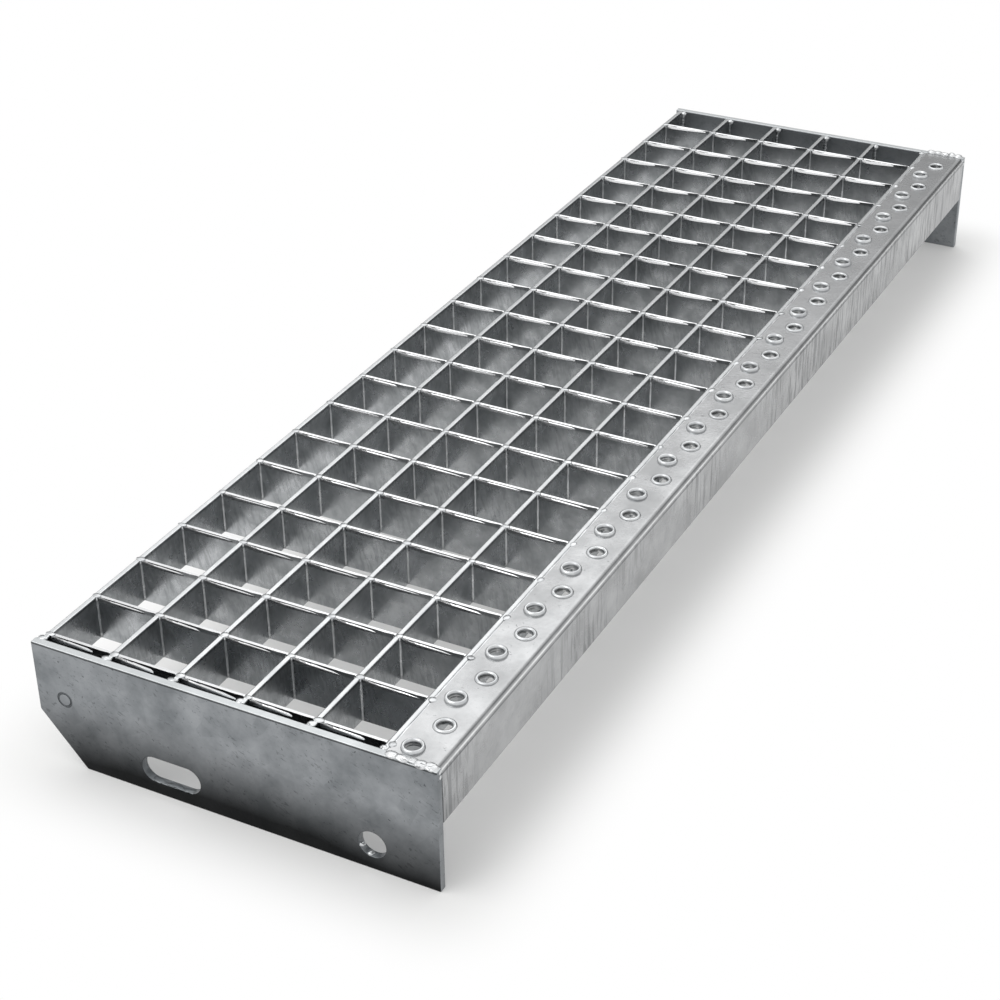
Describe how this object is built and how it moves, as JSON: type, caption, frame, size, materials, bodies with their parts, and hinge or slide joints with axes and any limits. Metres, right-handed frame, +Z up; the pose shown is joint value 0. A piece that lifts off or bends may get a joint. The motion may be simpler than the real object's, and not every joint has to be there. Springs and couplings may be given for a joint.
{
  "type": "grating stair tread",
  "caption": "Galvanised steel grating stair tread with crossed bars on edge, drilled upright end plates and a folded, perforated nosing along the front edge.",
  "frame": {"origin": "on the surface that the end plates stand on, under the middle of the tread", "axes": "+X along the tread from the left to the right end plate, -Y towards the nosing at the front, +Z up"},
  "size_m": [0.7, 0.2, 0.0628],
  "materials": {
    "end_plate": "hot-dip galvanised, satin and mottled",
    "long_bar": "hot-dip galvanised, satin",
    "cross_bar": "hot-dip galvanised, satin",
    "nosing": "hot-dip galvanised, satin with run marks",
    "weld": "galvanised weld metal"
  },
  "bodies": {
    "root": {"end_plate_left": "end_plate", "end_plate_right": "end_plate", "long_bar_1": "long_bar", "long_bar_2": "long_bar", "long_bar_3": "long_bar", "long_bar_4": "long_bar", "long_bar_5": "long_bar", "long_bar_6": "long_bar", "cross_bar_01": "cross_bar", "cross_bar_02": "cross_bar", "cross_bar_03": "cross_bar", "cross_bar_04": "cross_bar", "cross_bar_05": "cross_bar", "cross_bar_06": "cross_bar", "cross_bar_07": "cross_bar", "cross_bar_08": "cross_bar", "cross_bar_09": "cross_bar", "cross_bar_10": "cross_bar", "cross_bar_11": "cross_bar", "cross_bar_12": "cross_bar", "cross_bar_13": "cross_bar", "cross_bar_14": "cross_bar", "cross_bar_15": "cross_bar", "cross_bar_16": "cross_bar", "cross_bar_17": "cross_bar", "cross_bar_18": "cross_bar", "cross_bar_19": "cross_bar", "cross_bar_20": "cross_bar", "cross_bar_21": "cross_bar", "nosing": "nosing", "bar_welds_left": "weld", "bar_welds_right": "weld", "nosing_bead_left": "weld", "nosing_bead_right": "weld", "nosing_tacks": "weld"}
  },
  "joints": []
}
